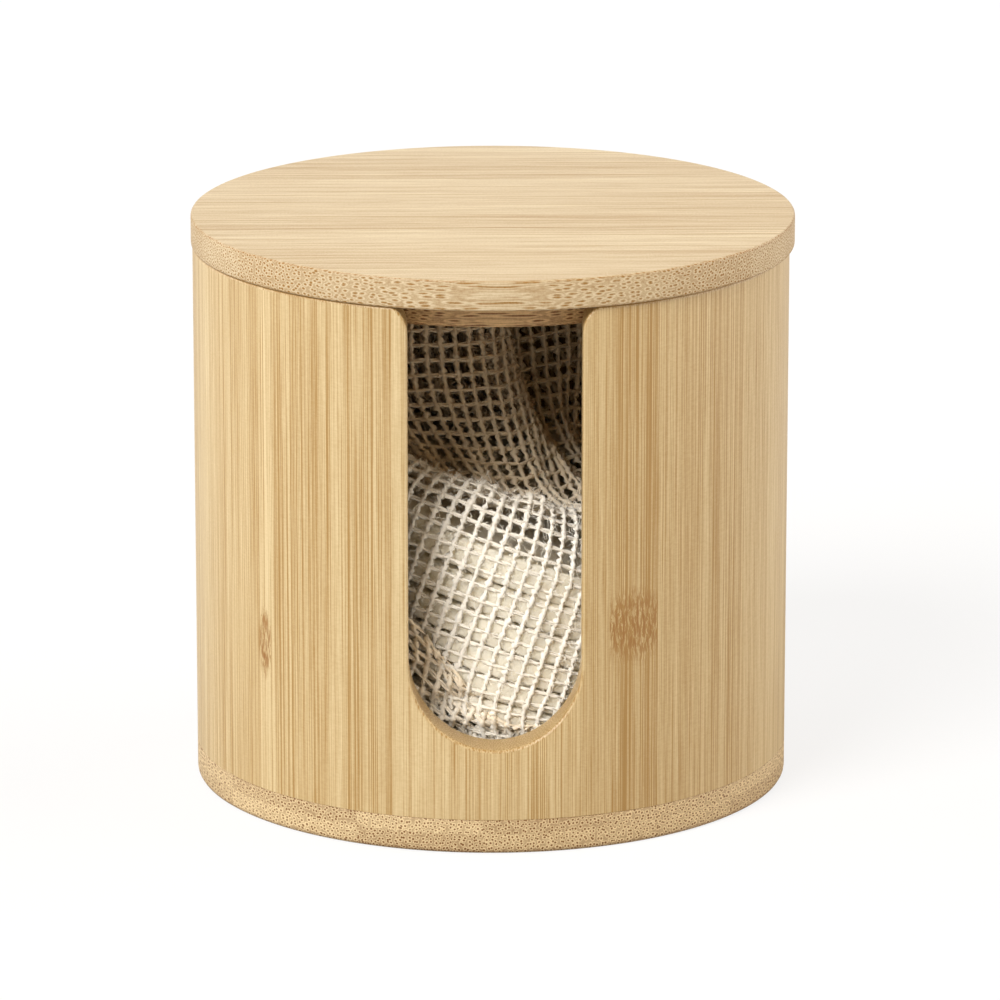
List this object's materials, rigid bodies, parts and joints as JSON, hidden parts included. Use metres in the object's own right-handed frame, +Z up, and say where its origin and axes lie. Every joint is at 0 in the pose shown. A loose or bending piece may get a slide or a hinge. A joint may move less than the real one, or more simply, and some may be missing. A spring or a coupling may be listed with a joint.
{
  "type": "makeup wipe dispenser",
  "caption": "Round bamboo dispenser with a tall front slot and a lift-off lid, holding a netting wash bag around a fanned stack of round cotton makeup wipes.",
  "frame": {"origin": "centre of the case's underside", "axes": "+Z up out of the lid, -Y out of the dispensing slot, +X to the right as seen from the slot's side"},
  "size_m": [0.0998, 0.0998, 0.0957],
  "materials": {
    "bamboo_board": "sanded bamboo, pale, thinly oiled",
    "bamboo_wall": "turned and sanded bamboo, thinly oiled",
    "cotton_net": "undyed cotton netting",
    "cotton_pad": "undyed cotton, soft"
  },
  "bodies": {
    "case": {"base_disc": "bamboo_board", "case_wall": "bamboo_wall"},
    "contents": {"bag_front_panel": "cotton_net", "bag_back_panel": "cotton_net", "bag_slack": "cotton_net", "wipe_1": "cotton_pad", "wipe_2": "cotton_pad", "wipe_3": "cotton_pad", "wipe_4": "cotton_pad", "wipe_5": "cotton_pad", "wipe_6": "cotton_pad"},
    "lid": {"lid_disc": "bamboo_board", "lid_plug": "bamboo_board"}
  },
  "joints": [
    {"name": "contents_lift", "type": "slide", "parent": "case", "child": "contents", "axis": [0, 0, 1], "range_m": [0, 0.11]},
    {"name": "lid_lift", "type": "slide", "parent": "contents", "child": "lid", "axis": [0, 0, 1], "range_m": [0, 0.06]}
  ]
}
